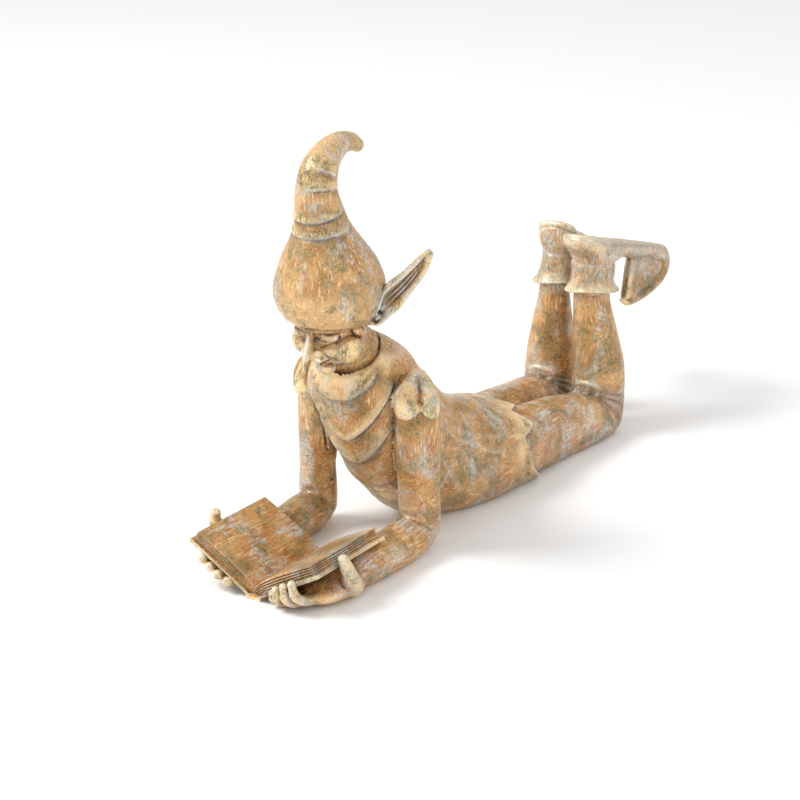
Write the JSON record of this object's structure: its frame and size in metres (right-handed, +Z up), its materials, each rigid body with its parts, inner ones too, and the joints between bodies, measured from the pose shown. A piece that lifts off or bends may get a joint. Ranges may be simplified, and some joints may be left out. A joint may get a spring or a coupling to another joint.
{
  "type": "garden statue",
  "caption": "Cast elf in a pointed hat lying on its front, propped on both elbows with its feet in the air, reading an open book.",
  "frame": {"origin": "under the middle of the statue's bounding box, on the flat plane that it rests on", "axes": "+Z up; -Y is the way that the elf looks, so the book is at -Y and the feet are at +Y; +X is the elf's left"},
  "size_m": [0.1524, 0.6152, 0.3359],
  "materials": {
    "bronze": "golden brown cast bronze with a satin sheen, streaked olive and grey green, with pale lime in the creases"
  },
  "bodies": {
    "root": {"elf_statue": "bronze"}
  },
  "joints": []
}
